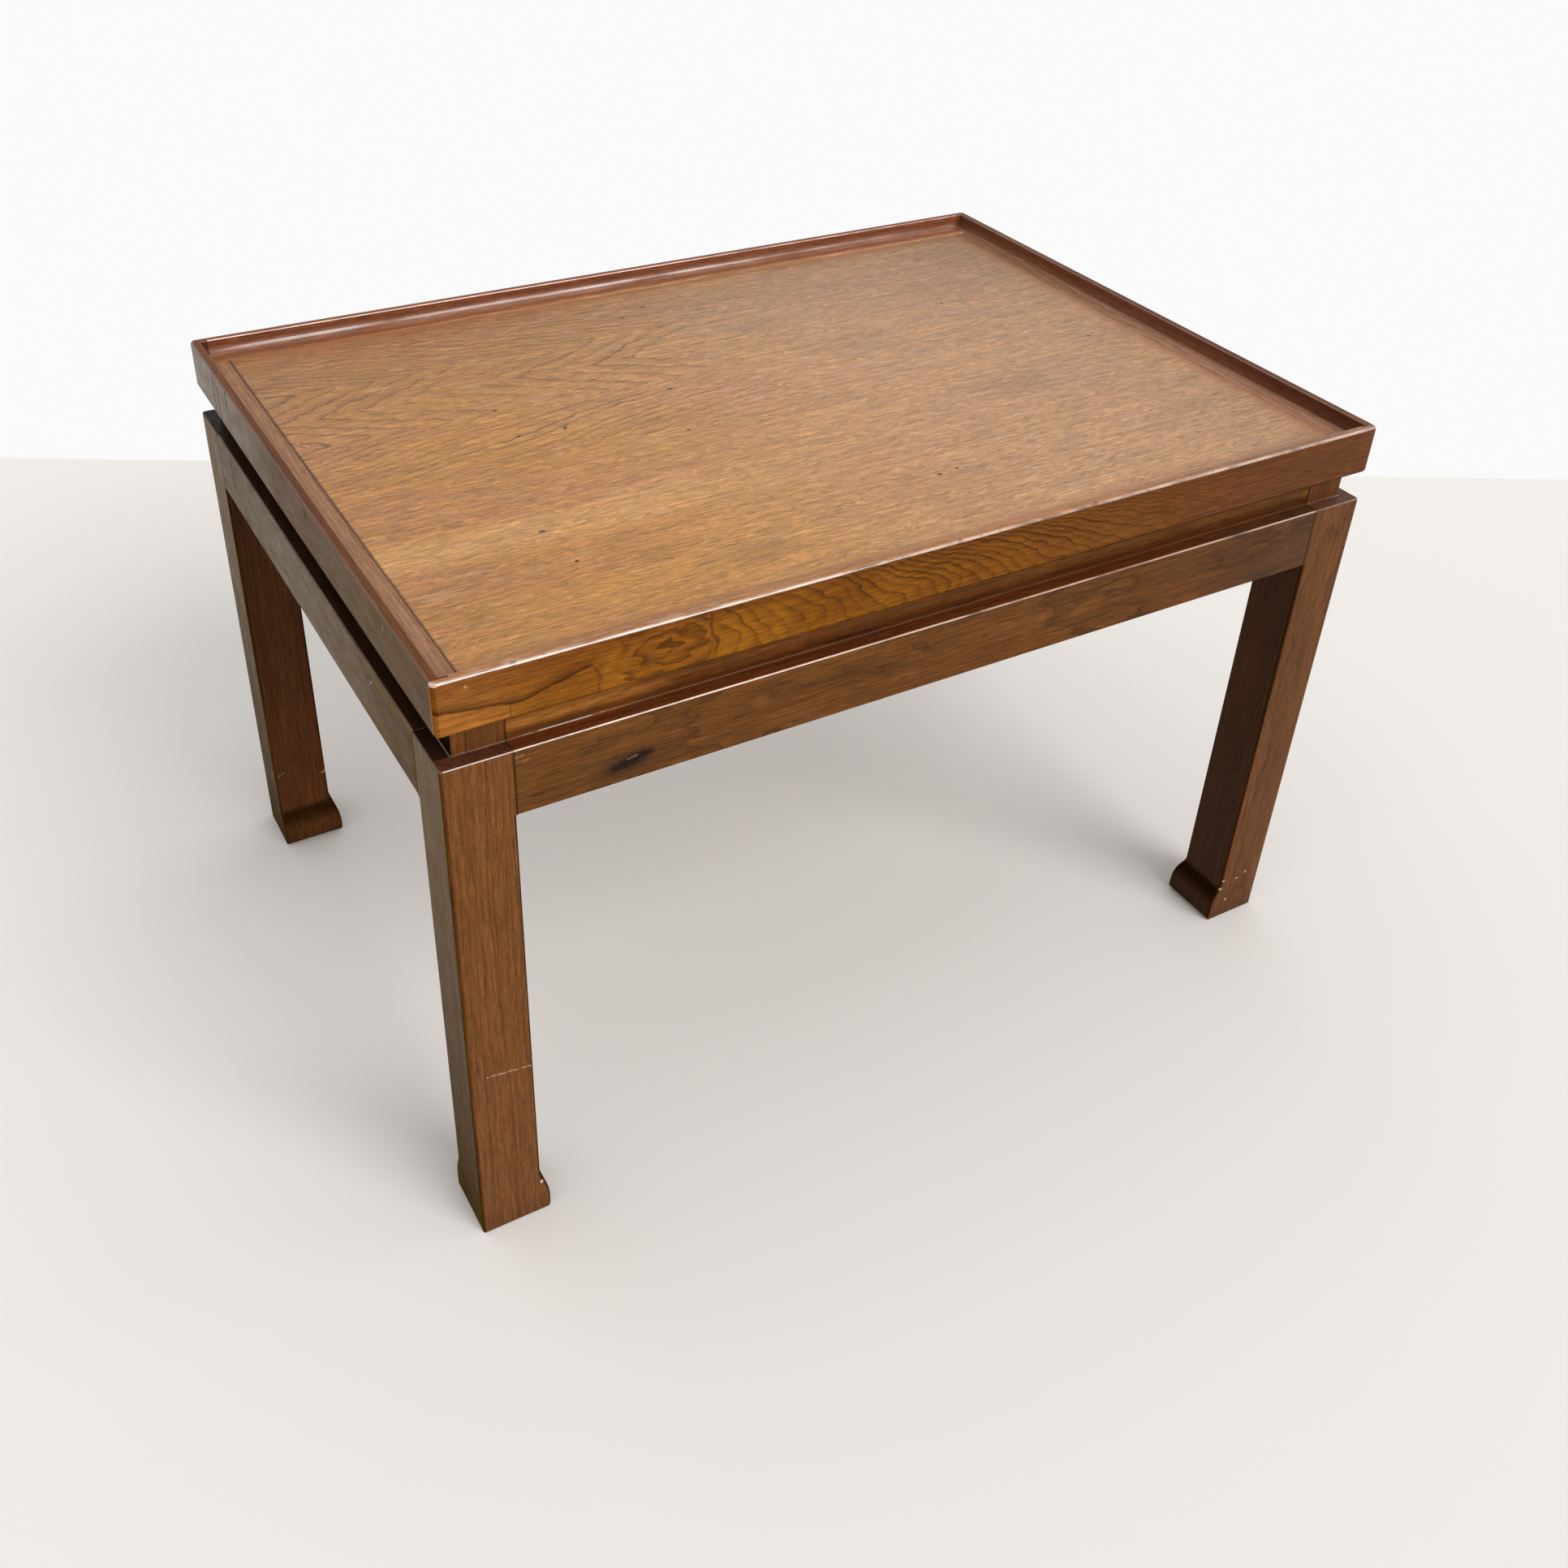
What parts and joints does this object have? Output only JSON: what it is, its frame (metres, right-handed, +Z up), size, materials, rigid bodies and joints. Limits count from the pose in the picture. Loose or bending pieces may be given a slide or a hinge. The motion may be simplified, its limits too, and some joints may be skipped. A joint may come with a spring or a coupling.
{
  "type": "low table",
  "caption": "Low rectangular wooden table with a shallow tray top, a recessed waist, flush aprons and legs on inward-swept hoof feet; it stands by a seat and holds things set down on it.",
  "frame": {"origin": "on the floor, below the middle of the table", "axes": "+X along the table's length to the right, +Y from the front to the back, +Z up"},
  "size_m": [0.711, 0.508, 0.457],
  "materials": {
    "show_veneer": "satin lacquered walnut veneer, grain along the table, with small scuffs",
    "long_rail_walnut": "satin lacquered walnut, amber, flat-sawn figure along the rail",
    "short_rail_walnut": "satin lacquered walnut, grain along the short rail",
    "leg_walnut": "satin lacquered walnut, vertical straight grain, worn at the foot",
    "apron_walnut": "satin lacquered walnut, straight grain with a knot",
    "waist_walnut": "satin lacquered walnut, dark",
    "back_veneer": "bare walnut veneer",
    "core_board": "sawn blockboard",
    "block_wood": "planed beech, glued",
    "dowel_wood": "turned beech",
    "screw_steel": "zinc-dulled steel"
  },
  "bodies": {
    "root": {"apron_back": "apron_walnut", "apron_dowels": "dowel_wood", "apron_front": "apron_walnut", "apron_left": "apron_walnut", "apron_right": "apron_walnut", "block_screws": "screw_steel", "corner_block_back_left": "block_wood", "corner_block_back_right": "block_wood", "corner_block_front_left": "block_wood", "corner_block_front_right": "block_wood", "leg_back_left": "leg_walnut", "leg_back_right": "leg_walnut", "leg_front_left": "leg_walnut", "leg_front_right": "leg_walnut", "panel_back_veneer": "back_veneer", "panel_core": "core_board", "panel_top_veneer": "show_veneer", "tray_corner_dowels": "dowel_wood", "tray_rail_back": "long_rail_walnut", "tray_rail_front": "long_rail_walnut", "tray_rail_left": "short_rail_walnut", "tray_rail_right": "short_rail_walnut", "tray_screws": "screw_steel", "waist_rail_back": "waist_walnut", "waist_rail_front": "waist_walnut", "waist_rail_left": "waist_walnut", "waist_rail_right": "waist_walnut"}
  },
  "joints": []
}
